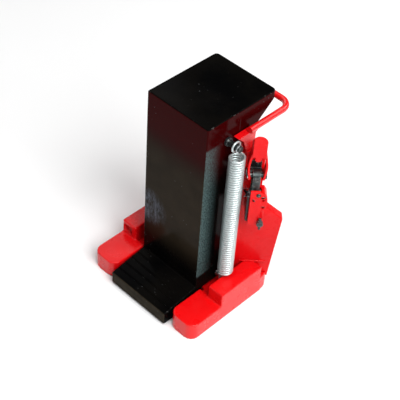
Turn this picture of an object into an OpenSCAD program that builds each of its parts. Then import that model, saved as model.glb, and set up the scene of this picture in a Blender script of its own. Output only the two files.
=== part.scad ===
// Hydraulic toe jack: a claw column with a low toe and a flat head slides up a fixed
// cylinder. Two extension springs pull it down again. A lever pump stands on the right wing.
// Origin on the ground on the ram axis, +Z up, toe towards -Y, pump side +X. Millimetres.

/* [Claw] */
// Outer width of the claw column, head and toe
claw_w = 112; // [108:1:114]
// Front face of the column, measured forward from the ram axis
claw_front = 50; // [48:1:52]
// Back face of the column, measured backward from the ram axis
claw_back = 46; // [44:1:46.5]
// Closed height of the head above the ground
head_h = 331; // [328:1:345]
// How far the head reaches behind the ram axis
head_back = 81.5; // [75:0.5:90]
// Length of the toe in front of the column
toe_len = 64; // [50:1:75]
// Height of the toe's top at its root
toe_root_h = 34; // [30:1:38]
// Height of the toe's top at its tip
toe_tip_h = 24; // [20:1:27]
// Number of grip grooves across the toe
toe_grooves = 4; // [2:1:5]

/* [Base] */
// Half width of the base over its feet
base_half = 105; // [100:1:112]
// Front end of the feet, measured forward from the ram axis
foot_front = 107; // [95:1:114]
// Height of the low feet
foot_h = 30; // [26:1:32]
// Height of the raised foot blocks
block_h = 53.4; // [46:0.2:54]
// Thickness of the plate under the cylinder
plate_h = 22; // [20:1:22]

/* [Cylinder] */
// Radius of the ram
ram_r = 22; // [20:0.5:23]
// Bore radius of the cylinder
bore_r = 26; // [25:0.5:27]
// Outer radius of the cylinder
tube_r = 34; // [32:0.5:34.5]

/* [Springs] */
// Mean distance of the spring axis from the middle plane
spring_x = 75.6; // [75:0.2:78]
// Outer diameter of the spring coils
spring_od = 23.6; // [22:0.2:24]
// Radius of the spring wire
wire_r = 1.6; // [1.2:0.1:1.8]

/* [Pump] */
// Distance along the wing from its front corner to the pump's middle
pump_s = 14.5; // [14.5:0.1:15]
// Radius of the pump plunger
plunger_r = 6.5; // [5.5:0.5:6.5]
// Distance between the fulcrum pin and the plunger pin
lever_arm = 16; // [15.5:0.1:16.2]
// Radius of the bore that takes the pump handle
socket_r = 6.6; // [6:0.1:7]

/* [Handle] */
// Radius of the carrying bail's rod
bail_r = 4.6; // [3.5:0.1:4.8]
// How far the bail reaches behind the ram axis
bail_back = 102.3; // [98:0.1:110]

/* [Hidden] */
$fn = 64;
eps = 0.01;

RED = [0.80, 0.06, 0.05];
BLACK = [0.07, 0.07, 0.075];
STEEL = [0.66, 0.67, 0.69];
ZINC = [0.80, 0.82, 0.84];
BRONZE = [0.72, 0.52, 0.26];
RUBBER = [0.12, 0.12, 0.12];

// Claw
claw_half = claw_w / 2;
front_wall = 14;
side_wall = 12;
rear_wall = 10;
cavity_x = claw_half - side_wall;
cavity_front = claw_front - front_wall;
cavity_back = claw_back - rear_wall;
head_under = head_h - 26;
head_lip = 11;
slope_foot = head_h - 41;
ground_gap = 2;
column_foot = plate_h + ground_gap;

// Base
foot_in = claw_half + 3;
block_in = 77.2;
block_front = 47;
block_back = 27;
plate_front = cavity_front - 2;
side_back = 38;
corner_x = 103;
corner_y = 51;
rear_x = 60;
rear_y = 98;
foot_corner = 14;
well_front = -44;

// Frame beside and behind the column
frame_in = claw_half + 1.2;
frame_out = frame_in + 10;
frame_y = 17.2;
frame_top_back = 33;
frame_top = 297;
frame_back = 58;
back_front = claw_back + 2;
back_top = 150;
side_shoulder = 215;
wing_t = 14;
wing_len = 51.5;
wing_foot = plate_h;
wing_lean = 62.6;
wing_tip_z = 141;
wing_knee_s = 36.4;
wing_knee_z = 163.5;
wing_root_z = 195;
tower_s = 27;
tower_top = 266;

// Tank behind the frame
tank_wall = 6;
cover_t = 6;
tank_y = frame_back + 0.2;
sump_top = 88;
sump_back = 96;
sump_plan = [[-66, tank_y], [66, tank_y], [84, 62], [56, sump_back], [-56, sump_back],
    [-84, 62]];
sump_in = [[-62, 64.2], [62, 64.2], [75, 65.5], [53, 90], [-53, 90], [-75, 65.5]];
tower_half = 32;
tower_back = 86;
tank_top = 205;
cover_screw_x = tower_half - tank_wall / 2;
cover_screw_y = [tank_y + tank_wall / 2, tower_back - tank_wall / 2];
filler_at = [0, 72];
drain_at = [-30, 36];
strainer_at = [-14, 72];
pickup_foot = 48;

// Cylinder stack
flange_x = cavity_x - 2;
flange_y = cavity_front - 3;
flange_top = plate_h + 10;
tube_top = 280;
gland_top = 292;
gland_foot = 262;
bolt_x = 35.5;
bolt_y = 26.5;
seal_foot = 268;
seal_h = 6;
piston_foot = 45;
piston_top = 70;
groove_foot = 54;
groove_h = 7;
grub_z = 300;

// Springs, studs and anchors
spring_y = -11.6;
stud_z = head_h - 37.6;
stud_r = 4.5;
anchor_z = 44;
anchor_r = 3.5;
coil_foot = 58;
coil_top = 280;
eye_x = 72;
eye_r = 7.2;
hook_r = 6.2;

// Pump, in wing coordinates: s along the wing, n outward from it, z up
fulcrum_n = 6.64;
fulcrum_z = 235;
pin_n = fulcrum_n + lever_arm * cos(30);
pin_z = fulcrum_z + lever_arm * sin(30);
plunger_n = 21.5;
fulcrum_r = 4;
pin_r = 3.5;
slot_r = pin_r + 0.3;
lever_neck = 280;
fork_in = 8.3;
fork_out = 11.3;
pin_out = fork_out + 2;
pump_foot = 162;
pump_top = 211;
pump_half = 9;
pump_back_n = 10;
pump_front_n = 34;
gland_hex = 216;
gland_r = 8;
hex_r = 9.2;
body_s0 = pump_s - pump_half;
body_s1 = pump_s + pump_half;
notch_s = 8.3;
lug_n = 30;
lug_top = 217.5;
pump_bolt_s = 20;
pump_bolt_z = [176, 198];
pump_bolt_r = 3;
pump_bolt_head = 4.8;
pump_bolt_n = 7;
pump_bolt_seat = -8;
release_s = 25;
release_z = 168;
release_r = 3;
valve_s = [27.5, 27.2];
valve_z = [191, 204];
plunger_foot = 188;
plunger_seal_z = 196;
seal_t = 4;
pump_gland_z = plunger_seal_z + seal_t;
valve_r = 3.2;
running = 0.05;
bracket_half = 7.8;
bracket_r = 5.6;
bracket_z = [222, 252];
bracket_screw_z = [225.5, 247.5];
socket_foot = 288;

// Shapes shared by several nodes
module both_sides() {
    children();
    mirror([1, 0, 0]) children();
}

module on_wing() {
    translate([frame_out, frame_y, 0]) rotate([0, 0, 45]) children();
}

// A rod along the wing between s0 and s1, at height z and distance n
module rod_s(r, s0, s1, n, z) {
    translate([s0, -n, z]) rotate([0, 90, 0]) cylinder(r = r, h = s1 - s0);
}

// A rod that points away from the wing between n0 and n1
module rod_n(r, s, n0, n1, z) {
    translate([s, -n0, z]) rotate([90, 0, 0]) cylinder(r = r, h = n1 - n0);
}

// A block in wing coordinates
module block_snz(s0, s1, n0, n1, z0, z1) {
    translate([s0, -n1, z0]) cube([s1 - s0, n1 - n0, z1 - z0]);
}

// A ring about a vertical axis
module ring(r_out, r_in, h) {
    difference() {
        cylinder(r = r_out, h = h);
        translate([0, 0, -1]) cylinder(r = r_in, h = h + 2);
    }
}

// A plate that stands in the Y-Z plane between two X values
module plate_yz(x0, x1, outline) {
    translate([x0, 0, 0]) rotate([90, 0, 90]) linear_extrude(x1 - x0) polygon(outline);
}

// What a round corner takes away from a shape that fills the first quadrant
module corner_off(r) {
    difference() {
        translate([-1, -1]) square(r + 1);
        translate([r, r]) circle(r = r);
    }
}

// Root: base
module foot_plan() {
    difference() {
        polygon([[foot_in, -foot_front], [base_half, -foot_front], [base_half, side_back],
            [corner_x, corner_y], [foot_in, corner_y]]);
        translate([base_half, -foot_front]) rotate([0, 0, 90]) corner_off(foot_corner);
        translate([foot_in, -foot_front]) corner_off(foot_corner);
    }
}

module base_casting() color(RED) {
    linear_extrude(plate_h)
        polygon([[-base_half, -plate_front], [base_half, -plate_front],
            [base_half, side_back], [corner_x, corner_y], [rear_x, rear_y],
            [-rear_x, rear_y], [-corner_x, corner_y], [-base_half, side_back]]);
    both_sides() difference() {
        linear_extrude(foot_h) foot_plan();
        wing_prism(plate_h - eps, foot_h + 1);
        frame_slot();
        spring_well();
    }
}

// The foot is no higher than the plate where the springs come down
module spring_well() {
    translate([foot_in - 1, well_front, plate_h])
        cube([block_in - foot_in + 1, frame_y - well_front + 1, foot_h]);
}

// Room in the foot for the frame's side plate
module frame_slot() {
    translate([foot_in - 1, frame_y, plate_h])
        cube([frame_out - foot_in + 1, frame_back, foot_h]);
}

// The wing's footprint and everything behind it, between two heights
module wing_prism(z0, z1) {
    translate([0, 0, z0]) linear_extrude(z1 - z0)
        polygon([[frame_out, frame_y], [frame_out + 70, frame_y + 70],
            [frame_out, frame_y + 70]]);
}

module foot_block() {
    difference() {
        translate([block_in, -block_front, foot_h])
            cube([base_half - block_in, block_front + 60, block_h - foot_h]);
        wing_prism(foot_h - 1, block_h + 1);
        translate([0, block_back + 10, foot_h - 1]) cube([120, 60, 40]);
    }
}

module foot_block_right() color(RED) foot_block();
module foot_block_left() color(RED) mirror([1, 0, 0]) foot_block();

// Root: frame
module frame_side() {
    plate_yz(frame_in, frame_out, [[frame_y, plate_h], [frame_back, plate_h],
        [frame_back, back_top], [frame_top_back, side_shoulder], [frame_top_back, frame_top],
        [-1.8, frame_top], [9.4, 285.6], [frame_y, 264]]);
}

module frame_side_right() color(RED) frame_side();
module frame_side_left() color(RED) mirror([1, 0, 0]) frame_side();

module back_plate() color(RED) {
    translate([-frame_in, back_front, plate_h])
        cube([2 * frame_in, frame_back - back_front, back_top - plate_h]);
}

module wing(outline) {
    difference() {
        on_wing() translate([0, wing_t, 0]) rotate([90, 0, 0])
            linear_extrude(wing_t) polygon(outline);
        translate([frame_out - 60, -50, 0]) cube([60, 200, 400]);
    }
}

module wing_plate_right() color(RED) difference() {
    wing([[0, wing_foot], [wing_len, wing_foot], [wing_lean, wing_tip_z],
        [wing_knee_s, wing_knee_z], [tower_s, wing_knee_z + 9], [tower_s, tower_top - 3],
        [tower_s - 3, tower_top], [0, tower_top]]);
    on_wing() pump_bolt_holes();
}

module wing_plate_left() color(RED) mirror([1, 0, 0])
    wing([[0, wing_foot], [wing_len, wing_foot], [wing_lean, wing_tip_z],
        [wing_knee_s, wing_knee_z], [0, wing_root_z]]);

module carry_handle() color(RED) translate([0, 0, frame_top + bail_r]) {
    bend = 18;
    arm_x = frame_out;
    both_sides() {
        translate([arm_x, 19, 0]) rotate([-90, 0, 0])
            cylinder(r = bail_r, h = bail_back - bend - 19);
        translate([arm_x - bend, bail_back - bend, 0]) rotate_extrude(angle = 90)
            translate([bend, 0]) circle(r = bail_r);
    }
    translate([bend - arm_x, bail_back, 0]) rotate([0, 90, 0])
        cylinder(r = bail_r, h = 2 * (arm_x - bend));
}

// Root: oil tank, a wide sump with a narrow tower over it
module at_cover_screws() {
    for (x = [-cover_screw_x, cover_screw_x], y = cover_screw_y)
        translate([x, y, tank_top]) children();
}

module oil_tank() color(RED) difference() {
    union() {
        translate([0, 0, plate_h]) linear_extrude(sump_top - plate_h) polygon(sump_plan);
        translate([-tower_half, tank_y, plate_h])
            cube([2 * tower_half, tower_back - tank_y, tank_top - plate_h]);
    }
    translate([0, 0, plate_h + tank_wall])
        linear_extrude(sump_top - plate_h - 2 * tank_wall) polygon(sump_in);
    translate([tank_wall - tower_half, tank_y + tank_wall, sump_top - tank_wall - 1])
        cube([2 * (tower_half - tank_wall), tower_back - tank_y - 2 * tank_wall, 200]);
    translate([drain_at[0], sump_back + 1, drain_at[1]]) rotate([90, 0, 0])
        cylinder(r = 5, h = 9);
    at_cover_screws() translate([0, 0, -12]) cylinder(r = 2, h = 13);
}

module tank_cover() color(RED) difference() {
    translate([-tower_half, tank_y, tank_top])
        cube([2 * tower_half, tower_back - tank_y, cover_t]);
    at_cover_screws() translate([0, 0, -1]) cylinder(r = 2, h = 9);
    translate([filler_at[0], filler_at[1], tank_top - 1]) cylinder(r = 7, h = 9);
}

module tank_cover_screws() color(ZINC) at_cover_screws() difference() {
    union() {
        translate([0, 0, -8]) cylinder(r = 2, h = 8 + cover_t);
        translate([0, 0, cover_t]) cylinder(r = 3.6, h = 3.6);
    }
    translate([0, 0, cover_t + 1.6]) cylinder(r = 1.8, h = 3, $fn = 6);
}

module filler_plug() color(ZINC) translate([filler_at[0], filler_at[1], tank_top + cover_t]) {
    translate([0, 0, -cover_t - 3]) cylinder(r = 7, h = cover_t + 5);
    translate([0, 0, 2]) cylinder(r = 10.5, h = 7, $fn = 6);
}

module filler_seal() color(BRONZE)
    translate([filler_at[0], filler_at[1], tank_top + cover_t]) ring(10.5, 7, 2);

module drain_plug() color(ZINC)
    translate([drain_at[0], sump_back, drain_at[1]]) rotate([-90, 0, 0]) {
        translate([0, 0, -6]) cylinder(r = 5, h = 6);
        cylinder(r = 7.5, h = 2);
        translate([0, 0, 2]) cylinder(r = 7, h = 4, $fn = 6);
    }

// Root: cylinder
module cylinder_flange() color(STEEL) difference() {
    translate([-flange_x, -flange_y, plate_h])
        cube([2 * flange_x, 2 * flange_y, flange_top - plate_h]);
    for (x = [-bolt_x, bolt_x], y = [-bolt_y, bolt_y])
        translate([x, y, plate_h - 1]) cylinder(r = 4, h = 12);
    translate([0, 0, flange_top - 4]) cylinder(r = bore_r, h = 5);
}

module cylinder_bolts() color(STEEL) for (x = [-bolt_x, bolt_x], y = [-bolt_y, bolt_y])
    translate([x, y, plate_h]) difference() {
        union() {
            cylinder(r = 4, h = 10);
            translate([0, 0, 10]) cylinder(r = 6.5, h = 7);
        }
        translate([0, 0, 13]) cylinder(r = 3.4, h = 5, $fn = 6);
    }

module cylinder_tube() color(STEEL)
    translate([0, 0, flange_top]) ring(tube_r, bore_r, tube_top - flange_top);

module cylinder_oring() color(RUBBER)
    translate([0, 0, flange_top - 4]) ring(bore_r, bore_r - 4, 4);

module gland_nut() color(STEEL) difference() {
    union() {
        translate([0, 0, gland_foot]) cylinder(r = bore_r, h = tube_top - gland_foot);
        translate([0, 0, tube_top]) cylinder(r = tube_r, h = gland_top - tube_top);
    }
    translate([0, 0, gland_foot - 1]) cylinder(r = ram_r + running, h = 40);
    translate([0, 0, gland_top - 5]) cylinder(r = ram_r + 3, h = 6);
    translate([0, 0, seal_foot]) cylinder(r = ram_r + 2.5, h = seal_h);
    for (a = [0, 90, 180, 270]) rotate([0, 0, a])
        translate([29.5, 0, gland_top - 6]) cylinder(r = 2.5, h = 7);
}

module rod_seal() color(RUBBER)
    translate([0, 0, seal_foot]) ring(ram_r + 2.5, ram_r + running, seal_h);

module rod_wiper() color(RUBBER)
    translate([0, 0, gland_top - 5]) ring(ram_r + 3, ram_r + running, 5);

module wear_strips() color(BRONZE) both_sides()
    translate([claw_half + 0.1, frame_y + 2, 60]) cube([1.1, 12, 224]);

module spring_anchor() {
    translate([claw_half + 4.5, spring_y, anchor_z]) rotate([0, 90, 0])
        cylinder(r = anchor_r, h = block_in - claw_half - 4.5);
    translate([claw_half + 4.5, spring_y, anchor_z]) rotate([0, 90, 0])
        cylinder(r = anchor_r + 1.8, h = 2.5);
}

module spring_anchor_right() color(STEEL) spring_anchor();
module spring_anchor_left() color(STEEL) mirror([1, 0, 0]) spring_anchor();

// Root: pump
module pump_bolt_holes() {
    for (z = pump_bolt_z) {
        rod_n(pump_bolt_r, pump_bolt_s, -wing_t - 1, pump_bolt_n, z);
        rod_n(pump_bolt_head + 0.2, pump_bolt_s, -wing_t - 1, pump_bolt_seat, z);
    }
}

module pump_body() color(RED) on_wing() difference() {
    union() {
        block_snz(body_s0, body_s1, pump_back_n, pump_front_n, pump_foot, pump_top);
        block_snz(body_s0, body_s1, 0, pump_back_n, pump_foot + 3, 205);
        block_snz(notch_s, body_s1 - 1.5, pump_front_n - 3, pump_front_n, pump_foot, 224);
        translate([0, -12, 0]) rotate([90, 0, 0]) linear_extrude(lug_n - 12)
            polygon([[body_s1 - 2, pump_foot], [30, pump_foot + 1.5], [29, 186], [31.5, 191],
                [33, 203], [31.8, 211], [28, lug_top], [body_s1 - 2, lug_top]]);
    }
    block_snz(body_s0 - 1, notch_s, pump_front_n - 6, pump_front_n + 1, pump_foot - 1, 230);
    translate([pump_s, -plunger_n, pump_foot + 4])
        cylinder(r = plunger_r + running, h = 60);
    translate([pump_s, -plunger_n, plunger_seal_z]) cylinder(r = gland_r, h = 20);
    translate([pump_s, -plunger_n, pump_top]) cylinder(r = hex_r + 0.2, h = 20);
    rod_n(release_r, release_s, 24, pump_front_n + 1, release_z);
    for (i = [0, 1]) rod_n(valve_r, valve_s[i], 14, lug_n + 1, valve_z[i]);
    pump_bolt_holes();
}

module pump_gland() color(STEEL) on_wing() translate([pump_s, -plunger_n, 0])
    difference() {
        union() {
            translate([0, 0, pump_gland_z]) cylinder(r = gland_r, h = pump_top - pump_gland_z);
            translate([0, 0, pump_top]) cylinder(r = hex_r, h = gland_hex - pump_top, $fn = 6);
        }
        translate([0, 0, 199]) cylinder(r = plunger_r + running, h = 20);
    }

module plunger_seal() color(RUBBER) on_wing()
    translate([pump_s, -plunger_n, plunger_seal_z]) ring(gland_r, plunger_r + running, seal_t);

module pump_bolts() color(ZINC) on_wing() for (z = pump_bolt_z) difference() {
    union() {
        rod_n(pump_bolt_r, pump_bolt_s, pump_bolt_seat, pump_bolt_n, z);
        rod_n(pump_bolt_head, pump_bolt_s, 0.5 - wing_t, pump_bolt_seat, z);
    }
    translate([pump_bolt_s, wing_t, z]) rotate([90, 0, 0]) cylinder(r = 2.9, h = 4, $fn = 6);
}

module check_balls() color(STEEL) on_wing() for (i = [0, 1])
    translate([valve_s[i], -17.2, valve_z[i]]) sphere(r = valve_r - 0.2, $fn = 32);

module check_springs() color(ZINC) on_wing() for (i = [0, 1])
    translate([valve_s[i], -20.4, valve_z[i]]) rotate([90, 0, 0]) ring(2.8, 2, 4.4);

module check_plugs() color(STEEL) on_wing() for (i = [0, 1]) difference() {
    rod_n(valve_r, valve_s[i], 25, lug_n, valve_z[i]);
    translate([valve_s[i], -27, valve_z[i]]) rotate([90, 0, 0])
        cylinder(r = 2.1, h = 10, $fn = 6);
}

// The pressure line: out of the wing's back, then down into the base
module oil_pipe() color(STEEL) on_wing() {
    rod_n(4, 30, -21, -wing_t, 60);
    translate([30, 21, 60]) sphere(r = 4, $fn = 32);
    translate([30, 21, plate_h]) cylinder(r = 4, h = 38);
    translate([30, 21, plate_h]) cylinder(r = 6, h = 8, $fn = 6);
}

// The pick-up tube that hangs in the tank, and the gauze cup on its foot
module suction_pipe() color(STEEL) translate([strainer_at[0], strainer_at[1], pickup_foot])
    ring(4, 2.5, tank_top - pickup_foot);

module oil_strainer() color(BRONZE) translate([strainer_at[0], strainer_at[1], 34])
    difference() {
        cylinder(r = 7, h = 16);
        translate([0, 0, 1.5]) cylinder(r = 5.8, h = 11);
        translate([0, 0, 12]) cylinder(r = 4, h = 5);
    }

module fulcrum_bracket() color(RED) on_wing() difference() {
    s0 = pump_s - bracket_half;
    s1 = pump_s + bracket_half;
    union() {
        block_snz(s0, s1, 0, 3, bracket_z[0], bracket_z[1]);
        block_snz(s0, s1, 0, fulcrum_n, fulcrum_z - bracket_r, fulcrum_z + bracket_r);
        rod_s(bracket_r, s0, s1, fulcrum_n, fulcrum_z);
    }
    rod_s(fulcrum_r, s0 - 1, s1 + 1, fulcrum_n, fulcrum_z);
    for (z = bracket_screw_z) rod_n(2, pump_s, -1, 4, z);
}

module bracket_screws() color(ZINC) on_wing() for (z = bracket_screw_z) {
    rod_n(2, pump_s, 0, 3, z);
    rod_n(3.4, pump_s, 3, 5, z);
}

module fulcrum_pin() color(STEEL) on_wing()
    rod_s(fulcrum_r, pump_s - pin_out, pump_s + pin_out, fulcrum_n, fulcrum_z);

module fulcrum_clips() color(STEEL) on_wing() for (s = [pump_s - pin_out + 0.8, pump_s + pin_out - 1.8])
    difference() {
        rod_s(5.6, s, s + 1, fulcrum_n, fulcrum_z);
        rod_s(fulcrum_r, s - 1, s + 2, fulcrum_n, fulcrum_z);
    }

// Claw
module claw_column() color(BLACK) {
    difference() {
        translate([-claw_half, -claw_front, column_foot])
            cube([claw_w, claw_front + claw_back, head_under - column_foot]);
        translate([-cavity_x, -cavity_front, column_foot - 1])
            cube([2 * cavity_x, cavity_front + cavity_back, head_under - column_foot + 2]);
    }
    translate([-claw_half, -claw_front, ground_gap])
        cube([claw_w, front_wall, column_foot - ground_gap]);
}

module toe_plate() color(BLACK) difference() {
    translate([0, -claw_front, 0]) plate_yz(-claw_half, claw_half, [[0, ground_gap],
        [0, toe_root_h], [-toe_len, toe_tip_h], [-toe_len, ground_gap + 2],
        [-toe_len + 2, ground_gap]]);
    for (i = [1 : toe_grooves]) translate([0, -claw_front, 0]) toe_groove(i);
}

// One shallow V across the toe
module toe_groove(i) {
    y = -toe_len * i / (toe_grooves + 1);
    z = toe_root_h + (toe_root_h - toe_tip_h) * y / toe_len;
    plate_yz(-claw_half - 1, claw_half + 1, [[y - 1.4, z + 1], [y, z - 1.2], [y + 1.4, z + 1]]);
}

module head_block() color(BLACK)
    plate_yz(-claw_half, claw_half, [[-claw_front, head_under], [claw_back, head_under],
        [claw_back, slope_foot], [head_back, head_h - head_lip], [head_back, head_h],
        [-claw_front, head_h]]);

module ram() color(STEEL) translate([0, 0, piston_top])
    cylinder(r = ram_r, h = head_under - piston_top);

module piston() color(STEEL) difference() {
    translate([0, 0, piston_foot]) cylinder(r = bore_r - running, h = piston_top - piston_foot);
    translate([0, 0, groove_foot]) ring(bore_r + 1, bore_r - 4, groove_h);
}

module piston_seal() color(RUBBER)
    translate([0, 0, groove_foot]) ring(bore_r - running, bore_r - 4, groove_h);

module ram_collar() color(STEEL) difference() {
    translate([0, 0, gland_top + 2]) ring(31, ram_r, head_under - gland_top - 2);
    translate([0, 0, grub_z]) rotate([90, 0, 0]) cylinder(r = 3, h = 32);
}

module ram_grub_screw() color(STEEL)
    translate([0, -ram_r, grub_z]) rotate([90, 0, 0]) cylinder(r = 3, h = 8);

module spring_stud() {
    translate([claw_half, spring_y, stud_z]) rotate([0, 90, 0]) {
        cylinder(r = stud_r, h = 25);
        cylinder(r = stud_r + 2, h = 4);
    }
}

module spring_stud_right() color(BLACK) spring_stud();
module spring_stud_left() color(BLACK) mirror([1, 0, 0]) spring_stud();

module stud_clips() color(ZINC) both_sides() translate([claw_half + 21, spring_y, stud_z])
    rotate([0, 90, 0]) ring(stud_r + 1.6, stud_r, 1.2);

// A return spring as the closed shape of its coils, with an eye above and a hook below
module return_spring() {
    translate([spring_x, spring_y, coil_foot])
        ring(spring_od / 2, spring_od / 2 - 2 * wire_r, coil_top - coil_foot);
    translate([eye_x, spring_y, stud_z]) rotate([0, 90, 0]) rotate_extrude()
        translate([eye_r, 0]) circle(r = wire_r, $fn = 16);
    translate([eye_x, spring_y, coil_top - 2]) cylinder(r = wire_r, h = 9, $fn = 16);
    translate([eye_x, spring_y, coil_top - 3]) end_disc();
    translate([eye_x, spring_y, anchor_z]) rotate([0, 90, 0]) rotate_extrude()
        translate([hook_r, 0]) circle(r = wire_r, $fn = 16);
    translate([eye_x, spring_y, anchor_z + 5]) cylinder(r = wire_r, h = 12, $fn = 16);
    translate([eye_x, spring_y, coil_foot]) end_disc();
}

// The last turn, bent across the spring's end to carry the eye
module end_disc() {
    translate([spring_x - eye_x, 0, 0]) cylinder(r = spring_od / 2 - 1, h = 3);
}

module return_spring_right() color(ZINC) return_spring();
module return_spring_left() color(ZINC) mirror([1, 0, 0]) return_spring();

// Lever
module fork_arm(s0, s1) {
    step = [fulcrum_n - pin_n, pin_z - fulcrum_z] / lever_arm;
    side = [step[1], -step[0]];
    f = [-fulcrum_n, fulcrum_z];
    p = [-pin_n, pin_z];
    translate([s0, 0, 0]) rotate([90, 0, 90]) linear_extrude(s1 - s0) {
        translate(f) circle(r = 6);
        translate(p) circle(r = 7.5);
        polygon([f + 6 * side, p + 7.5 * side, p - 7.5 * side, f - 6 * side]);
        translate([-pin_n - 7.5, pin_z]) square([15, lever_neck - 3 - pin_z]);
    }
}

module socket_block() {
    half = 9.3;
    corner = [2.5, 8];
    top = 317;
    difference() {
        translate([0, -11, 0]) rotate([90, 0, 0]) linear_extrude(18) difference() {
            translate([pump_s - half, lever_neck]) square([2 * half, top - lever_neck]);
            translate([pump_s - half, top]) rotate([0, 0, -90]) corner_off(corner[0]);
            translate([pump_s + half, top]) rotate([0, 0, 180]) corner_off(corner[1]);
        }
        translate([pump_s - half - 1, 0, 0]) rotate([90, 0, 90]) linear_extrude(2 * half + 2)
            polygon([[-29 - eps, top], [-10, top - 18], [-10, top + 1], [-29 - eps, top + 1]]);
    }
}

// Where the fork's two arms meet the socket, with sloping shoulders
module fork_shoulders() {
    step = 3;
    translate([pump_s, -pin_n + 7.5, 0]) rotate([90, 0, 0]) linear_extrude(15)
        polygon([[-fork_out, lever_neck - step], [-9, lever_neck + 12],
            [9, lever_neck + 12], [fork_out, lever_neck - step],
            [fork_in, lever_neck - step], [fork_in - step, lever_neck],
            [step - fork_in, lever_neck], [-fork_in, lever_neck - step]]);
}

module pump_lever() color(RED) on_wing() difference() {
    union() {
        fork_arm(pump_s - fork_out, pump_s - fork_in);
        fork_arm(pump_s + fork_in, pump_s + fork_out);
        fork_shoulders();
        socket_block();
        rod_n(4.5, pump_s - 1, 23, 29, lever_neck - 3);
    }
    translate([pump_s, -20, socket_foot]) cylinder(r = socket_r, h = 60);
    rod_s(fulcrum_r + running, pump_s - 14, pump_s + 14, fulcrum_n, fulcrum_z);
    rod_s(pin_r, pump_s - 14, pump_s + 14, pin_n, pin_z);
}

module plunger_pin() color(BLACK) on_wing() {
    rod_s(pin_r, pump_s - pin_out, pump_s + fork_out, pin_n, pin_z);
    rod_s(5.6, pump_s + fork_out, pump_s + fork_out + 2.6, pin_n, pin_z);
}

module plunger_pin_clip() color(ZINC) on_wing() difference() {
    rod_s(5.2, pump_s - pin_out + 0.8, pump_s - pin_out + 1.8, pin_n, pin_z);
    rod_s(pin_r, pump_s - pin_out - 1, pump_s - fork_out, pin_n, pin_z);
}

module plunger() color(ZINC) on_wing() difference() {
    union() {
        rod_s(8.3, pump_s - 5, pump_s + 5, plunger_n, pin_z);
        translate([pump_s, -plunger_n, plunger_foot])
            cylinder(r = plunger_r, h = pin_z - 6 - plunger_foot);
    }
    rod_s(slot_r, pump_s - 8, pump_s + 8, pin_n, pin_z);
    rod_s(slot_r, pump_s - 8, pump_s + 8, fulcrum_n + lever_arm, pin_z);
    block_snz(pump_s - 8, pump_s + 8, pin_n, fulcrum_n + lever_arm, pin_z - slot_r,
        pin_z + slot_r);
}

// Release valve
module release_screw() color(ZINC) on_wing() difference() {
    union() {
        rod_n(release_r - running, release_s, 25, 40, release_z);
        rod_n(4.6, release_s, 35, 40.5, release_z);
    }
    translate([release_s, -38, release_z - 9]) cylinder(r = 1.8, h = 18);
}

module release_bar() color(ZINC) on_wing()
    translate([release_s, -38, release_z - 10]) cylinder(r = 1.8, h = 20);

base_casting();
foot_block_right();
foot_block_left();
frame_side_right();
frame_side_left();
back_plate();
wing_plate_right();
wing_plate_left();
oil_tank();
tank_cover();
tank_cover_screws();
filler_plug();
filler_seal();
drain_plug();
carry_handle();
cylinder_flange();
cylinder_tube();
cylinder_bolts();
cylinder_oring();
gland_nut();
rod_seal();
rod_wiper();
wear_strips();
spring_anchor_right();
spring_anchor_left();
pump_body();
pump_gland();
plunger_seal();
pump_bolts();
check_balls();
check_springs();
check_plugs();
oil_pipe();
suction_pipe();
oil_strainer();
fulcrum_bracket();
bracket_screws();
fulcrum_pin();
fulcrum_clips();
claw_column();
toe_plate();
head_block();
ram();
piston();
piston_seal();
ram_collar();
ram_grub_screw();
spring_stud_right();
spring_stud_left();
stud_clips();
return_spring_right();
return_spring_left();
pump_lever();
plunger_pin();
plunger_pin_clip();
plunger();
release_screw();
release_bar();
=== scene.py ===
"""Hydraulic toe jack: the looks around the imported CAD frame.

Metres, Z up, toe towards -Y, pump on the +X side. The claw is one black enamelled weldment,
the base and the pump are red castings, and the springs are real coils between stud and anchor.
"""

import math
import random

import bmesh
import bpy
from mathutils import Matrix, Vector, noise


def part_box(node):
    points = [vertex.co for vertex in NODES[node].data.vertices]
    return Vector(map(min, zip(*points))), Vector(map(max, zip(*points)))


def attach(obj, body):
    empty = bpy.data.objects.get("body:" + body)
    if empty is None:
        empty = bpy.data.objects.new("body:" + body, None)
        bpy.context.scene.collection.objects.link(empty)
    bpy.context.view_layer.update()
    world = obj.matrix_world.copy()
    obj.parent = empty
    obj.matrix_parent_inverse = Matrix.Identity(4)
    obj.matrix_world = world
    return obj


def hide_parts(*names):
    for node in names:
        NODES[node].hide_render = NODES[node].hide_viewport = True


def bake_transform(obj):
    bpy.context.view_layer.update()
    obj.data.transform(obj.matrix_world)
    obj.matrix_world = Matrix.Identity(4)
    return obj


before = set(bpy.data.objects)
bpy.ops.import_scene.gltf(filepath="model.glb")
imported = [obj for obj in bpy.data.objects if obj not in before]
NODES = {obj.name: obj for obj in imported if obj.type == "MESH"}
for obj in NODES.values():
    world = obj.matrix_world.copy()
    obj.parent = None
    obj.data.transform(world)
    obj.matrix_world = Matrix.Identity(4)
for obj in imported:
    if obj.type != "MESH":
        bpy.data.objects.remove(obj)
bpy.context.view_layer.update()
MM = 0.001
random.seed(7)


# Materials


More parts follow.
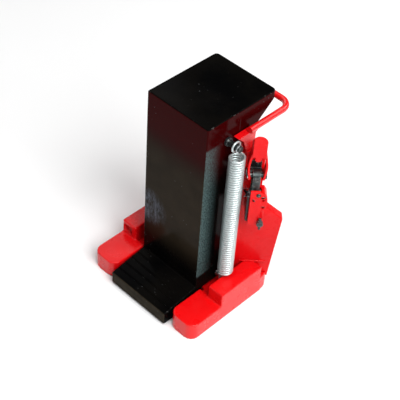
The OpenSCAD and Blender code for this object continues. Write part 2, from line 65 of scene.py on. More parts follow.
class Nodes:
    """A material's node tree, with short calls that add nodes and join them."""

    def __init__(self, name):
        self.mat = bpy.data.materials.new(name)
        self.mat.use_nodes = True
        self.tree = self.mat.node_tree
        self.shader = self.tree.nodes["Principled BSDF"]
        self.place = self.add("ShaderNodeTexCoord").outputs["Object"]
        self.geometry = self.add("ShaderNodeNewGeometry")

    def add(self, kind, inputs=None, **settings):
        node = self.tree.nodes.new(kind)
        for key, value in settings.items():
            setattr(node, key, value)
        for key, value in (inputs or {}).items():
            self.put(node.inputs[key], value)
        return node

    def put(self, socket, value):
        if isinstance(value, bpy.types.NodeSocket):
            self.tree.links.new(value, socket)
        else:
            socket.default_value = value

    def shade(self, **inputs):
        for key, value in inputs.items():
            self.put(self.shader.inputs[key.replace("_", " ")], value)

    def noise(self, scale, detail=2.0, stretch=(1, 1, 1), rough=0.5):
        """Noise with about `scale` blobs a metre, drawn out where stretch is small."""
        spot = self.add("ShaderNodeMapping", {"Vector": self.place, "Scale": stretch})
        node = self.add(
            "ShaderNodeTexNoise",
            {"Vector": spot.outputs[0], "Scale": scale, "Detail": detail, "Roughness": rough},
        )
        return node.outputs["Fac"]

    def spots(self, scale):
        node = self.add("ShaderNodeTexVoronoi", {"Vector": self.place, "Scale": scale})
        return node.outputs["Distance"]

    def span(self, value, low, high, start=0.0, end=1.0):
        """Runs smoothly from start to end while value goes from low to high."""
        node = self.add(
            "ShaderNodeMapRange",
            {
                "Value": value,
                "From Min": low,
                "From Max": high,
                "To Min": start,
                "To Max": end,
            },
            interpolation_type="SMOOTHSTEP",
        )
        return node.outputs[0]

    def maths(self, operation, a, b=0.0):
        node = self.add("ShaderNodeMath", operation=operation)
        self.put(node.inputs[0], a)
        self.put(node.inputs[1], b)
        return node.outputs[0]

    def times(self, first, *others):
        for other in others:
            first = self.maths("MULTIPLY", first, other)
        return first

    def mix(self, share, a, b):
        node = self.add("ShaderNodeMix", data_type="RGBA")
        self.put(node.inputs["Factor"], share)
        self.put(node.inputs[6], a)
        self.put(node.inputs[7], b)
        return node.outputs[2]

    def axis(self, vector, letter):
        return self.add("ShaderNodeSeparateXYZ", {"Vector": vector}).outputs[letter]

    def bump(self, height, depth, strength=1.0, over=None):
        node = self.add(
            "ShaderNodeBump", {"Height": height, "Distance": depth, "Strength": strength}
        )
        if over is not None:
            self.put(node.inputs["Normal"], over)
        return node.outputs[0]

    def edges(self, radius):
        """0 on open faces, rising to about 0.3 on the corners that handling wears."""
        soft = self.add("ShaderNodeBevel", {"Radius": radius}, samples=4)
        dot = self.add("ShaderNodeVectorMath", operation="DOT_PRODUCT")
        self.put(dot.inputs[0], soft.outputs[0])
        self.put(dot.inputs[1], self.geometry.outputs["Normal"])
        return self.maths("SUBTRACT", 1.0, dot.outputs["Value"])

    def shade_in_hollows(self, reach):
        """0 in the open, 1 deep in a corner: a mask for painted shade."""
        node = self.add("ShaderNodeAmbientOcclusion", {"Distance": reach}, samples=4)
        return self.maths("SUBTRACT", 1.0, node.outputs["AO"])


def rgb(r, g, b):
    return (r, g, b, 1.0)


def red_enamel(name="red_paint", lump=0.35, gloss=0.14):
    """Thick enamel over a casting, a little uneven, chipped on its corners."""
    m = Nodes(name)
    patches = m.span(m.noise(11, 3), 0.3, 0.7)
    base = m.mix(patches, rgb(0.62, 0.0015, 0.004), rgb(0.76, 0.003, 0.004))
    # Dust dulls the red in a mottle
    mottle = m.span(m.noise(140, 5, rough=0.7), 0.62, 0.80, 0.0, 0.2)
    base = m.mix(mottle, base, rgb(0.52, 0.020, 0.018))
    # Painted shade: the paint is darkened deep in corners and recesses
    hollow_shade = m.span(m.shade_in_hollows(0.004), 0.35, 0.9, 0.0, 0.55)
    base = m.mix(hollow_shade, base, rgb(0.16, 0.004, 0.004))
    wear = m.times(m.span(m.edges(0.0016), 0.02, 0.16), m.span(m.noise(190, 4), 0.60, 0.66))
    base = m.mix(wear, base, rgb(0.10, 0.075, 0.065))
    m.shade(Base_Color=base, Specular_IOR_Level=gloss, Coat_Weight=0.10, Coat_Roughness=0.12)
    rough = m.span(m.noise(60, 4), 0.3, 0.75, 0.24, 0.38)
    m.shade(Roughness=m.maths("ADD", rough, m.times(wear, 0.3)))
    cast = m.bump(m.noise(75, 3), 0.0006, lump)
    peel = m.bump(m.noise(650, 2), 0.00012, 0.5, cast)
    m.shade(Normal=m.bump(wear, -0.00015, 0.6, peel))
    return m.mat


def black_enamel(name="black_paint", gloss=0.02):
    """Smooth black over rolled plate, with dust specks, hair scratches and bright chips.

    Painted reflections: a dark red tint on the upright faces above, brown on the column's front
    below, a blue-grey band down the sides and brown on the toe's front end."""
    m = Nodes(name)
    toe, column, head = (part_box(n) for n in ("toe_plate", "claw_column", "head_block"))
    x, y, z = (m.axis(m.place, letter) for letter in "XYZ")
    skin = 0.0012
    patches = m.span(m.noise(16, 4), 0.35, 0.65)
    base = m.mix(patches, rgb(0.0012, 0.0012, 0.0013), rgb(0.003, 0.0026, 0.0022))
    # Painted reflection: the upright faces take a dark red tint towards the top
    upright = m.maths("LESS_THAN", m.axis(m.geometry.outputs["Normal"], "Z"), 0.5)
    high = m.times(m.span(z, 0.21, 0.29), upright)
    base = m.mix(high, base, rgb(0.030, 0.0006, 0.0008))
    # Painted reflection: the column's front is browned below the head
    above_toe = m.maths("GREATER_THAN", z, toe[1].z + 0.001)
    front = m.times(m.maths("LESS_THAN", y, column[0].y + skin), above_toe)
    low = m.times(m.span(z, 0.22, 0.28, 1.0, 0.0), m.span(z, 0.05, 0.12))
    front_reflection = m.times(front, low, m.span(m.noise(22, 4), 0.2, 0.7, 0.6, 1.0))
    base = m.mix(front_reflection, base, rgb(0.026, 0.019, 0.012))
    # Painted reflection: a mottled blue-grey band runs down the sides behind the front corners
    sides = m.maths("GREATER_THAN", m.maths("ABSOLUTE", x), column[1].x - skin)
    behind = m.times(m.maths("GREATER_THAN", y, column[0].y), m.span(y, -0.049, -0.019, 1.0, 0.0))
    tall = m.times(m.span(z, 0.052, 0.058), m.span(z, 0.292, 0.298, 1.0, 0.0))
    mottle = m.span(m.noise(520, 5, (1, 1, 0.6), 0.8), 0.35, 0.70, 0.2, 1.0)
    base = m.mix(m.times(sides, behind, tall, mottle), base, rgb(0.075, 0.125, 0.125))
    # Scuffed haze low on the left of the front
    haze_x, haze_z, per_reach = -0.046, 0.128, 26.0
    dx = m.times(m.maths("SUBTRACT", x, haze_x), per_reach)
    dz = m.times(m.maths("SUBTRACT", z, haze_z), per_reach)
    far = m.maths("ADD", m.times(dx, dx), m.times(dz, dz))
    streak = m.span(m.noise(210, 6, (1, 1, 0.35), 0.8), 0.38, 0.70)
    haze = m.times(m.span(far, 0.0, 1.0, 0.75, 0.0), streak, front)
    base = m.mix(haze, base, rgb(0.15, 0.17, 0.22))
    # Painted reflection: the toe's front end is painted a mottled brown
    tip = m.maths("LESS_THAN", y, toe[0].y + 0.0011)
    scale = m.mix(m.noise(95, 5), rgb(0.006, 0.005, 0.004), rgb(0.050, 0.040, 0.026))
    base = m.mix(tip, base, scale)
    # Dust specks and hair scratches
    speck = m.times(m.span(m.spots(150), 0.05, 0.09, 1.0, 0.0), m.span(m.noise(33, 1), 0.60, 0.62))
    base = m.mix(m.times(speck, 0.6), base, rgb(0.22, 0.23, 0.24))
    scratch = m.span(m.noise(300, 2, (1, 1, 0.03)), 0.735, 0.76, 0.0, 0.12)
    base = m.mix(scratch, base, rgb(0.20, 0.18, 0.18))
    # Chips along the corners
    wear = m.times(m.span(m.edges(0.0014), 0.01, 0.07), m.span(m.noise(120, 4), 0.62, 0.66))
    base = m.mix(wear, base, rgb(0.55, 0.54, 0.52))
    shine = m.span(m.noise(26, 4), 0.3, 0.7, 0.10, 0.19)
    shine = m.maths("ADD", shine, m.times(m.maths("MAXIMUM", haze, tip), 0.34))
    m.shade(Base_Color=base, Roughness=shine, Specular_IOR_Level=gloss)
    ripple = m.bump(m.noise(38, 2), 0.0005, 0.10)
    peel = m.bump(m.noise(800, 2), 0.00006, 0.35, ripple)
    m.shade(Normal=m.bump(wear, -0.0002, 0.7, peel))
    return m.mat


def zinc_plate(name="zinc_plate"):
    """Bright zinc with the faint clouding of a barrel-plated part."""
    m = Nodes(name)
    cloud = m.span(m.noise(210, 4), 0.3, 0.7)
    base = m.mix(cloud, rgb(0.70, 0.75, 0.78), rgb(0.88, 0.90, 0.91))
    # Painted shade: the zinc is darkened deep in its hollows
    base = m.mix(m.span(m.shade_in_hollows(0.002), 0.3, 0.95, 0.0, 0.75), base, rgb(0.12, 0.13, 0.14))
    m.shade(Base_Color=base, Metallic=1.0, Roughness=m.span(cloud, 0.0, 1.0, 0.34, 0.22))
    m.shade(Normal=m.bump(m.noise(900, 3), 0.00005, 0.5))
    return m.mat


def spring_zinc(name="spring_zinc"):
    """Drawn wire under dull, slightly clouded zinc."""
    m = Nodes(name)
    base = m.mix(m.noise(320, 4), rgb(0.50, 0.58, 0.58), rgb(0.72, 0.79, 0.79))
    m.shade(Base_Color=base, Metallic=0.75, Roughness=m.span(m.noise(500, 3), 0.3, 0.7, 0.34, 0.46))
    m.shade(Normal=m.bump(m.noise(1400, 2), 0.00003, 0.4))
    return m.mat


def turned_steel(name="bare_steel"):
    """Steel from the lathe: fine rings round the part's axis and a film of oil."""
    m = Nodes(name)
    rings = m.noise(60, 3, (0.6, 0.6, 60.0))
    base = m.mix(rings, rgb(0.448, 0.448, 0.4592), rgb(0.644, 0.644, 0.6552))
    base = m.mix(m.span(m.noise(28, 4), 0.45, 0.75, 0.0, 0.5), base, rgb(0.22, 0.19, 0.15))
    m.shade(Base_Color=base, Metallic=1.0, Roughness=m.span(m.noise(50, 4), 0.3, 0.7, 0.24, 0.42))
    m.shade(Normal=m.bump(rings, 0.00006, 0.5))
    return m.mat


def black_oxide(name="black_oxide"):
    """Blackened steel, rubbed grey where it is handled."""
    m = Nodes(name)
    corners = m.span(m.edges(0.0010), 0.02, 0.14, 0.0, 0.75)
    rub = m.maths("MAXIMUM", corners, m.span(m.noise(160, 5), 0.5, 0.8, 0.0, 0.6))
    m.shade(Base_Color=m.mix(rub, rgb(0.045, 0.055, 0.055), rgb(0.40, 0.42, 0.40)), Metallic=0.85)
    m.shade(Roughness=m.span(m.noise(120, 4), 0.3, 0.7, 0.30, 0.50))
    m.shade(Normal=m.bump(m.noise(500, 3), 0.00008, 0.5))
    return m.mat


def bronze_alloy(name="bronze"):
    """Cast bronze, unevenly browned."""
    m = Nodes(name)
    base = m.mix(m.noise(130, 4), rgb(0.48, 0.27, 0.09), rgb(0.78, 0.52, 0.22))
    m.shade(Base_Color=base, Metallic=1.0, Roughness=m.span(m.noise(90, 3), 0.3, 0.7, 0.28, 0.48))
    m.shade(Normal=m.bump(m.noise(700, 3), 0.00006, 0.5))
    return m.mat


def moulded_rubber(name="seal_rubber"):
    """Matt rubber with a faint bloom."""
    m = Nodes(name)
    base = m.mix(m.noise(200, 4), rgb(0.012, 0.012, 0.012), rgb(0.035, 0.034, 0.032))
    m.shade(Base_Color=base, Roughness=m.span(m.noise(150, 3), 0.3, 0.7, 0.55, 0.75))
    m.shade(Normal=m.bump(m.noise(900, 4), 0.00008, 0.6))
    return m.mat


RED = red_enamel()
RED_BASE = red_enamel("red_paint_base", 0.35, 0.30)
RED_FLAT = red_enamel("red_paint_plate", 0.18, 0.45)
RED_ROD = red_enamel("red_paint_rod", 0.30, 0.9)
BLACK = black_enamel()
BLACK_GLOSS = black_enamel("black_paint_side", 0.5)
ZINC = zinc_plate()
WIRE = spring_zinc()
STEEL = turned_steel()
OXIDE = black_oxide()
BRONZE = bronze_alloy()
RUBBER = moulded_rubber()
SLOTS = {
    "red_paint": RED_FLAT,
    "black_paint": BLACK,
    "zinc_plate": ZINC,
    "bare_steel": STEEL,
    "bronze": BRONZE,
    "seal_rubber": RUBBER,
}


# Shapes


def finish_mesh(obj):
    """Applies the object's modifiers, so that its mesh is what they make."""
    graph = bpy.context.evaluated_depsgraph_get()
    made = bpy.data.meshes.new_from_object(obj.evaluated_get(graph))
    obj.modifiers.clear()
    old = obj.data
    obj.data = made
    bpy.data.meshes.remove(old)
    return obj


def new_object(name, mesh):
    obj = bpy.data.objects.new(name, mesh)
    bpy.context.scene.collection.objects.link(obj)
    return obj


def from_parts(name, parts):
    """One object from several (vertices, faces) shapes."""
    verts, faces = [], []
    for part_verts, part_faces in parts:
        first = len(verts)
        verts += [tuple(v) for v in part_verts]
        faces += [[i + first for i in f] for f in part_faces]
    mesh = bpy.data.meshes.new(name)
    mesh.from_pydata(verts, [], faces)
    bm = bmesh.new()
    bm.from_mesh(mesh)
    bmesh.ops.recalc_face_normals(bm, faces=bm.faces)
    bm.to_mesh(mesh)
    bm.free()
    return new_object(name, mesh)


def prism(outline, lo, hi):
    """An outline of (y, z) points, run along X from lo to hi."""
    n = len(outline)
    verts = [(lo, y, z) for y, z in outline] + [(hi, y, z) for y, z in outline]
    sides = [[i, (i + 1) % n, (i + 1) % n + n, i + n] for i in range(n)]
    return verts, [list(range(n)), list(range(2 * n - 1, n - 1, -1)), *sides]


def block(lo, hi):
    return prism([(lo[1], lo[2]), (hi[1], lo[2]), (hi[1], hi[2]), (lo[1], hi[2])], lo[0], hi[0])


def tube(path, radius, sides=10):
    """A round wire or bead along a path. radius is a number, or one for each point."""
    radii = radius if isinstance(radius, list) else [radius] * len(path)
    path = [Vector(p) for p in path]
    ahead = (path[1] - path[0]).normalized()
    across = ahead.orthogonal().normalized()
    verts, faces = [], []
    for i, p in enumerate(path):
        a, b = path[max(i - 1, 0)], path[min(i + 1, len(path) - 1)]
        turn = ahead.rotation_difference((b - a).normalized())
        across = turn @ across
        ahead = (b - a).normalized()
        up = ahead.cross(across)
        for k in range(sides):
            w = 2 * math.pi * k / sides
            verts.append(p + radii[i] * (math.cos(w) * across + math.sin(w) * up))
    for i in range(len(path) - 1):
        for k in range(sides):
            j, m = i * sides + k, i * sides + (k + 1) % sides
            faces.append([j, m, m + sides, j + sides])
    faces.append(list(range(sides)))
    faces.append(list(range(len(verts) - 1, len(verts) - sides - 1, -1)))
    return verts, faces


def smooth_path(points, steps=6):
    """A curve through the points (Catmull-Rom)."""
    pts = [Vector(p) for p in points]
    pts = [2 * pts[0] - pts[1], *pts, 2 * pts[-1] - pts[-2]]
    out = []
    for a, b, c, d in zip(pts, pts[1:], pts[2:], pts[3:]):
        for k in range(steps):
            t = k / steps
            out.append(
                0.5
                * (2 * b + (c - a) * t + (2 * a - 5 * b + 4 * c - d) * t * t
                   + (3 * b - a - 3 * c + d) * t ** 3)
            )
    return [*out, pts[-2]]


def smooth_faces(obj):
    obj.data.polygons.foreach_set("use_smooth", [True] * len(obj.data.polygons))
    obj.data.update()


def soften(obj, width, segments=3):
    """Rounds the sharp edges and keeps the flats flat in the shading."""
    smooth_faces(obj)
    bevel = obj.modifiers.new("round", "BEVEL")
    bevel.width = width
    bevel.segments = segments
    bevel.limit_method = "ANGLE"
    bevel.angle_limit = math.radians(32)
    bevel.use_clamp_overlap = False
    bevel.miter_outer = "MITER_ARC"
    obj.modifiers.new("flats", "WEIGHTED_NORMAL").keep_sharp = False
    return obj


def carve(obj, cutters):
    """Takes (vertices, faces) shapes out of an object."""
    tools = [from_parts(f"{obj.name}_cut", [c]) for c in cutters]
    for tool in tools:
        cut = obj.modifiers.new("cut", "BOOLEAN")
        cut.object = tool
        cut.operation = "DIFFERENCE"
        cut.solver = "EXACT"
    finish_mesh(obj)
    for tool in tools:
        bpy.data.objects.remove(tool)
    return obj


def casting(name, sources, voxel, rounds, turn=0.0, lump=0.00006, cuts=()):
    """CAD solids as one casting: joined, every corner soft, the faces a little uneven.

    turn is the angle of its main faces about Z, so that they stay flat. cuts are taken out."""
    spin = Matrix.Rotation(math.radians(turn), 4, "Z")
    bm = bmesh.new()
    for source in sources:
        bm.from_mesh(NODES[source].data)
    bmesh.ops.remove_doubles(bm, verts=bm.verts, dist=1e-7)
    bmesh.ops.transform(bm, matrix=spin.inverted(), verts=bm.verts)
    mesh = bpy.data.meshes.new(name)
    bm.to_mesh(mesh)
    bm.free()
    obj = new_object(name, mesh)
    skin = obj.modifiers.new("skin", "REMESH")
    skin.mode = "VOXEL"
    skin.voxel_size = voxel
    skin.use_smooth_shade = True
    soft = obj.modifiers.new("soft", "SMOOTH")
    soft.iterations = rounds
    soft.factor = 0.5
    finish_mesh(obj)
    if cuts:
        carve(obj, cuts)
    lumps_a_metre = 90.0
    moved = [
        v.co + v.normal * lump * noise.noise(v.co * lumps_a_metre) for v in obj.data.vertices
    ]
    obj.data.vertices.foreach_set("co", [c for spot in moved for c in spot])
    obj.data.transform(spin)
    smooth_faces(obj)
    return obj


def dress(obj, material, body, slot, *stands_for):
    """Gives a piece its material and the body it rides on, and hides the CAD nodes it stands for.
    """
    obj.data.materials.clear()
    obj.data.materials.append(material)
    if body:
        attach(obj, body)
    if stands_for:
        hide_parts(*stands_for)
    return obj


def refine(node, width, material):
    """A CAD node that stays: welded, its flats joined, its corners rounded."""
    obj = NODES[node]
    obj.data.materials.clear()
    obj.data.materials.append(material)
    weld = obj.modifiers.new("weld", "WELD")
    weld.merge_threshold = 1e-6
    if width:
        flat = obj.modifiers.new("flat", "DECIMATE")
        flat.decimate_type = "DISSOLVE"
        flat.angle_limit = math.radians(0.5)
        soften(obj, width, 2)


# Along the right wing, and outward from it
ALONG = Vector((1, 1, 0)).normalized()
OUTWARD = Vector((1, -1, 0)).normalized()


def on_wing(s, n, z):
    """World place of a point s along the right wing, n out from its face, at height z, in mm."""
    root_x, root_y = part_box("frame_side_right")[1].x, 0.0172
    slant = math.sqrt(0.5)
    return Vector((root_x + (s + n) * MM * slant, root_y + (s - n) * MM * slant, z * MM))


# Claw: one weldment from toe to head


def claw_body():
    toe, column, head = (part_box(n) for n in ("toe_plate", "claw_column", "head_block"))
    root_z, tip_z, grooves, depth, half = toe[1].z, 0.024, 4, 0.0006, 0.0020
    run = column[0].y - toe[0].y
    top = []
    for i in range(grooves, 0, -1):
        middle = column[0].y - run * i / (grooves + 1)
        for k in range(-4, 5):
            y = middle + half * k / 4
            slope = root_z + (root_z - tip_z) * (y - column[0].y) / run
            top.append((y, slope - depth * (0.5 + 0.5 * math.cos(math.pi * k / 4))))
    # The column is hollow, and open behind its front wall up to the foot
    inner, back_wall, side_wall, foot = -0.036, 0.036, 0.044, 0.024
    lip, cant, below_foot = 0.011, 0.002, 0.009
    outline = [
        (toe[0].y + cant, toe[0].z),
        (toe[0].y, toe[0].z + cant),
        (toe[0].y, tip_z),
        *top,
        (column[0].y, root_z),
        (column[0].y, head[1].z),
        (head[1].y, head[1].z),
        (head[1].y, head[1].z - lip),
        (column[1].y, head[0].z),
        (column[1].y, foot),
        (inner, foot),
        (inner, column[0].z),
    ]
    obj = from_parts("claw_body", [prism(outline, head[0].x, head[1].x)])
    hollow = (-side_wall, inner, foot - below_foot), (side_wall, back_wall, column[1].z)
    carve(obj, [block(*hollow)])
    bm = bmesh.new()
    bm.from_mesh(obj.data)
    # The head's back corners are well rounded
    near = 1e-5
    back = [
        e for e in bm.edges
        if all(v.co.y > head[1].y - near and abs(v.co.x) > head[1].x - near for v in e.verts)
        and abs(e.verts[0].co.z - e.verts[1].co.z) > lip / 2
    ]
    bmesh.ops.bevel(bm, geom=back, offset=0.0065, segments=6, profile=0.5, affect="EDGES")
    # The column's sides keep their gloss: split them off from head and toe
    for place, normal in (((0, 0, head[0].z), (0, 0, 1)), ((0, column[0].y, 0), (0, 1, 0))):
        everything = [*bm.verts, *bm.edges, *bm.faces]
        bmesh.ops.bisect_plane(bm, geom=everything, plane_co=place, plane_no=normal, dist=1e-7)
    for face in bm.faces:
        middle = face.calc_center_median()
        side = abs(face.normal.x) > 0.9 and abs(middle.x) > side_wall + near
        face.material_index = int(side and middle.y > column[0].y and middle.z < head[0].z)
    bm.to_mesh(obj.data)
    bm.free()
    soften(obj, 0.0020)
    dress(obj, BLACK, "claw", "black_paint", "claw_column", "toe_plate", "head_block")
    obj.data.materials.append(BLACK_GLOSS)
    return obj


# Springs: coils with a crossed-over eye above and hook below


def spring_wire(side):
    """One return spring on the right (side 1) or left (side -1), stretched by the claw."""
    lo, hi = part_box("return_spring_right")
    middle_y = (lo.y + hi.y) / 2
    wire, outer, eye, hook = (size * MM for size in (1.6, 11.8, 7.2, 6.2))
    axis_x = hi.x - outer
    eye_x = 0.072
    eye_z, hook_z = (
        (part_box(node)[0].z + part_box(node)[1].z) / 2
        for node in ("spring_stud_right", "spring_anchor_right")
    )
    foot, top = 0.058 + wire, 0.280 - wire
    turns, steps, mean = 51.5, 28, outer - wire
    coil = []
    for i in range(int(turns * steps) + 1):
        w = 2 * math.pi * i / steps - math.pi / 2
        z = foot + (top - foot) * i / (turns * steps)
        coil.append((axis_x + mean * math.cos(w), middle_y + mean * math.sin(w), z))

    def ring(z, r, start, end, count=14):
        """Points round the eye or hook, from one angle to another, 0 straight up."""
        made = []
        for i in range(count + 1):
            w = math.radians(start + (end - start) * i / count)
            made.append((eye_x, middle_y + r * math.sin(w), z + r * math.cos(w)))
        return made

    up = [
        (axis_x - 0.0025, middle_y + mean - 0.0002, top + 0.0004),
        (eye_x + 0.0003, middle_y + 0.0092, top + 0.0022),
        (eye_x, middle_y + 0.0078, top + 0.0070),
        *ring(eye_z, eye, 90, -195),
    ]
    down = [
        (axis_x - 0.0025, middle_y - mean + 0.0002, foot - 0.0004),
        (eye_x + 0.0003, middle_y - 0.0090, foot - 0.0022),
        (eye_x, middle_y - 0.0068, foot - 0.0080),
        *ring(hook_z, hook, -90, -360),
    ]
    path = [*reversed(smooth_path([coil[0], *down])), *coil[1:-1], *smooth_path([coil[-1], *up])]
    hand = "right" if side > 0 else "left"
    coils = tube([(side * x, y, z) for x, y, z in path], wire * 0.98, 10)
    obj = from_parts(f"coil_spring_{hand}", [coils])
    smooth_faces(obj)
    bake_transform(obj)
    return dress(obj, WIRE, None, "zinc_plate", f"return_spring_{hand}")


# Lever


def bowed(lever):
    """Bows the fork's arms outward, like a forged ring yoke, and rounds the socket's top."""
    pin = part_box("fulcrum_pin")
    middle = ((pin[0] + pin[1]) / 2).dot(ALONG)
    front = max(v.co.dot(OUTWARD) for v in lever.data.vertices)
    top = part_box("pump_lever")[1].z
    low, high, reach, arm_inner = 0.240, 0.281, 0.0022, 0.0075
    socket_half, socket_foot, slope = 0.0093, 0.286, 18 / 19
    right_corner, left_corner = 0.0115, 0.0065
    for v in lever.data.vertices:
        t = (v.co.z - low) / (high - low)
        out = v.co.dot(ALONG) - middle
        if 0 < t < 1 and abs(out) > arm_inner:
            v.co += ALONG * math.copysign(reach * math.sin(math.pi * t) ** 1.5, out)
        radius = right_corner if out > 0 else left_corner
        # The socket's top slopes down behind its front
        level = top - (front - v.co.dot(OUTWARD)) * slope
        spot = Vector((abs(out) - socket_half + radius, v.co.z - level + radius))
        if v.co.z > socket_foot and min(spot) > 0 and spot.length > radius:
            moved = spot * (radius / spot.length)
            v.co += ALONG * (moved.x - spot.x) * math.copysign(1, out)
            v.co.z += moved.y - spot.y
    smooth_faces(lever)
    return lever


# Weld beads


def bead(a, b, radius, step=0.0024):
    """A weld bead between two points: a row of overlapping ripples."""
    a, b = Vector(a), Vector(b)
    count = max(6, int((b - a).length / step * 4))
    path, radii = [], []
    for i in range(count + 1):
        t = i / count
        wave = 0.5 + 0.5 * math.cos(2 * math.pi * (b - a).length * t / step)
        end = min(1.0, 6 * t, 6 * (1 - t))
        path.append(a.lerp(b, t) + Vector([random.uniform(-1, 1) * 0.00012 for _ in range(3)]))
        radii.append(radius * (0.72 + 0.22 * wave + 0.08 * random.random()) * (0.55 + 0.45 * end))
    return tube(path, radii, 8)


def mirrored(shape):
    """The same shape on the other side of the middle plane."""
    verts, faces = shape
    return [(-v[0], v[1], v[2]) for v in map(Vector, verts)], [f[::-1] for f in faces]


def weld_beads():
    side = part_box("frame_side_right")
    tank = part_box("oil_tank")
    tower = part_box("tank_cover")
    block_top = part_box("foot_block_right")[1].z / MM
    plate_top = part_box("cylinder_flange")[0].z / MM
    sump_half = -tank[0].x * 0.665
    outer, back, top = side[1]
    both = [
        # Wing to the block's top, and up the corner between wing and side plate
        (on_wing(8, 0.4, block_top), on_wing(46, 0.4, block_top), 0.0021),
        ((outer + 0.0004, 0.0166, 0.0545), (outer + 0.0004, 0.0166, 0.158), 0.0019),
        # Wing to the base on its back
        (on_wing(16, -14.4, plate_top), on_wing(49, -14.4, plate_top), 0.0026),
        # Side plate to back plate
        ((outer - 0.001, back, 0.024), (outer - 0.001, back, 0.148), 0.0016),
        # The bail's ends on the side plates
        ((outer - 0.0036, 0.0200, top + 0.0004), (outer - 0.0036, 0.0325, top + 0.0004), 0.0021),
        ((outer + 0.0016, 0.0200, top - 0.0002), (outer + 0.0016, 0.0325, top - 0.0002), 0.0018),
    ]
    middle = [
        # Sump to base, and tower to sump
        ((-sump_half, tank[1].y, plate_top * MM), (sump_half, tank[1].y, plate_top * MM), 0.0022),
        ((tower[0].x, tower[1].y, 0.088), (tower[1].x, tower[1].y, 0.088), 0.0020),
    ]
    both, middle = ([bead(*row) for row in rows] for rows in (both, middle))
    obj = from_parts("weld_beads", [*both, *map(mirrored, both), *middle])
    smooth_faces(obj)
    return dress(obj, RED, "root", "red_paint")


# Small finishing parts


def lug_screw():
    """A cross-recess screw in the rim in front of the plunger."""
    radius, squash, recess, half_slot, depth = 0.0033, 0.55, 0.0024, 0.0007, 0.0012
    bm = bmesh.new()
    bmesh.ops.create_uvsphere(bm, u_segments=24, v_segments=12, radius=radius)
    for v in bm.verts:
        if v.co.z < -0.0002:
            v.co.z = -depth
        v.co.z *= squash
        deep = max(0.0, 1 - min(abs(v.co.x), abs(v.co.y)) / half_slot)
        if v.co.z > 0 and v.co.to_2d().length < recess:
            v.co.z -= depth * deep
    mesh = bpy.data.meshes.new("lug_screw")
    bm.to_mesh(mesh)
    bm.free()
    obj = new_object("lug_screw", mesh)
    turn = OUTWARD.to_track_quat("Z", "Y").to_matrix().to_4x4()
    obj.data.transform(Matrix.Translation(on_wing(19.3, 34.1, 217.5)) @ turn)
    smooth_faces(obj)
    return dress(obj, OXIDE, "root", "zinc_plate")


def painted_shadow_strip():
    """A dark strip in the notch beside the pump's rim: painted shadow."""
    obj = from_parts("painted_shadow_strip", [block((0.0050, -0.0292, 0.1640), (0.0082, -0.0240, 0.2120))])
    soften(obj, 0.0008)
    finish_mesh(obj)
    place = Matrix.Translation(on_wing(0, 0, 0)) @ Matrix.Rotation(math.radians(45), 4, "Z")
    obj.data.transform(place)
    return dress(obj, RUBBER, "root", "seal_rubber")


# The pieces

claw_body()
for sign in (1, -1):
    spring_wire(sign)
dress(
    casting(
        "base_body", ["base_casting", "foot_block_right", "foot_block_left"], 0.00115, 5,
        cuts=[block((-0.102, -0.0480, 0.0335), (-0.085, -0.0415, 0.0480))],
    ),
    RED_BASE, "root", "red_paint", "base_casting", "foot_block_right", "foot_block_left",
)
for name, turn in (("wing_plate_right", 45), ("wing_plate_left", -45)):
    dress(casting(f"{name}_cast", [name], 0.0008, 5, turn), RED, "root", "red_paint", name)
dress(
    casting("pump_casting", ["pump_body"], 0.00045, 4, 45, 0.00004),
    RED, "root", "red_paint", "pump_body",
)
dress(
    bowed(casting("lever_casting", ["pump_lever"], 0.00045, 4, 45, 0.00004)),
    RED, "lever", "red_paint", "pump_lever",
)
dress(
    casting("fulcrum_casting", ["fulcrum_bracket"], 0.00045, 3, 45, 0.00003),
    OXIDE, "root", "red_paint", "fulcrum_bracket",
)
weld_beads()
lug_screw()
# A dark strip as painted shadow beside the pump's rim
painted_shadow_strip()

# CAD nodes that stay: the corner radius of each, and its finish where the slot's isn't right
ROUND = {
    "frame_side_right": 0.9,
    "frame_side_left": 0.9,
    "back_plate": 0.9,
    "oil_tank": 1.6,
    "tank_cover": 0.8,
    "tank_cover_screws": 0.35,
    "filler_plug": 0.7,
    "filler_seal": 0.3,
    "drain_plug": 0.6,
    "cylinder_flange": 0.9,
    "cylinder_bolts": 0.6,
    "cylinder_tube": 0.6,
    "gland_nut": 0.6,
    "rod_wiper": 0.3,
    "spring_anchor_right": 0.5,
    "spring_anchor_left": 0.5,
    "pump_gland": 0.5,
    "pump_bolts": 0.4,
    "check_plugs": 0.3,
    "bracket_screws": 0.4,
    "fulcrum_pin": 0.5,
    "fulcrum_clips": 0.15,
    "ram": 0.8,
    "ram_collar": 0.6,
    "spring_stud_right": 0.6,
    "spring_stud_left": 0.6,
    "stud_clips": 0.2,
    "plunger_pin": 0.5,
    "plunger_pin_clip": 0.15,
    "plunger": 0.2,
    "release_screw": 0.4,
    "release_bar": 0.4,
}
OTHER_FINISH = {
    "spring_stud_right": OXIDE,
    "spring_stud_left": OXIDE,
    "plunger_pin": OXIDE,
    "fulcrum_clips": OXIDE,
    "bracket_screws": OXIDE,
    "carry_handle": RED_ROD,
    "plunger": OXIDE,
    "check_plugs": RED,
    "release_screw": OXIDE,
    "release_bar": OXIDE,
}
for name in [n for n in NODES if not NODES[n].hide_render]:
    # A CAD node comes with a material named after its slot
    slot = NODES[name].data.materials[0].name.split(".")[0]
    refine(name, ROUND.get(name, 0) * MM, OTHER_FINISH.get(name, SLOTS[slot]))


# Studio


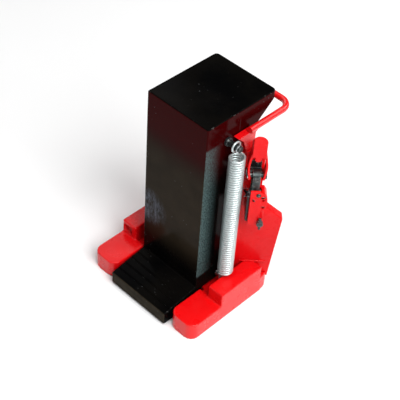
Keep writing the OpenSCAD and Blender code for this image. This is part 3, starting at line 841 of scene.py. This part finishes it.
def studio():
    bm = bmesh.new()
    bmesh.ops.create_grid(bm, x_segments=8, y_segments=8, size=6.0)
    mesh = bpy.data.meshes.new("floor")
    bm.to_mesh(mesh)
    bm.free()
    floor = new_object("floor", mesh)
    m = Nodes("pale_floor")
    tone = m.mix(m.noise(3, 2), rgb(0.90, 0.90, 0.90), rgb(0.93, 0.93, 0.93))
    m.shade(Base_Color=tone, Roughness=0.9, Specular_IOR_Level=0.1)
    floor.data.materials.append(m.mat)

    world = bpy.data.worlds.new("studio")
    world.use_nodes = True
    world.node_tree.nodes["Background"].inputs["Color"].default_value = rgb(1.0, 1.0, 1.0)
    world.node_tree.nodes["Background"].inputs["Strength"].default_value = 0.05
    bpy.context.scene.world = world

    def softbox(name, place, size, power):
        lamp = bpy.data.lights.new(name, "AREA")
        lamp.shape = "RECTANGLE"
        lamp.size, lamp.size_y = size
        lamp.energy = power
        obj = bpy.data.objects.new(name, lamp)
        bpy.context.scene.collection.objects.link(obj)
        obj.location = place
        aim = Vector((0, 0, 0.12)) - Vector(place)
        obj.rotation_euler = aim.to_track_quat("-Z", "Y").to_euler()

    softbox("key", (1.85, -0.38, 2.1), (1.8, 1.8), 88)
    softbox("front", (-1.3, -1.9, 1.7), (1.4, 1.4), 4)
    softbox("top", (0.3, -0.5, 2.6), (1.4, 1.4), 24)
    softbox("back", (1.0, 2.4, 2.3), (2.0, 2.0), 30)
    softbox("left", (-2.2, 0.9, 2.2), (2.0, 2.0), 18)


def camera():
    """The camera stands high on the pump side, and leans a little."""
    azimuth, elevation, roll = (math.radians(a) for a in (41.47, 43.68, 4.49))
    target = Vector((0.0001, 0.0073, 0.1344))
    back = Vector(
        (
            math.sin(azimuth) * math.cos(elevation),
            -math.cos(azimuth) * math.cos(elevation),
            math.sin(elevation),
        )
    )
    level = Vector((math.cos(azimuth), math.sin(azimuth), 0))
    upright = back.cross(level)
    right = math.cos(roll) * level + math.sin(roll) * upright
    up = math.cos(roll) * upright - math.sin(roll) * level
    data = bpy.data.cameras.new("camera")
    data.lens = 92.09
    data.sensor_width = 36
    data.clip_start = 0.05
    data.clip_end = 30
    obj = bpy.data.objects.new("camera", data)
    bpy.context.scene.collection.objects.link(obj)
    turn = Matrix((right, up, back)).transposed().to_4x4()
    obj.matrix_world = Matrix.Translation(target + back * 1.4825) @ turn
    bpy.context.scene.camera = obj


studio()
camera()
bpy.context.scene.view_settings.view_transform = "Standard"
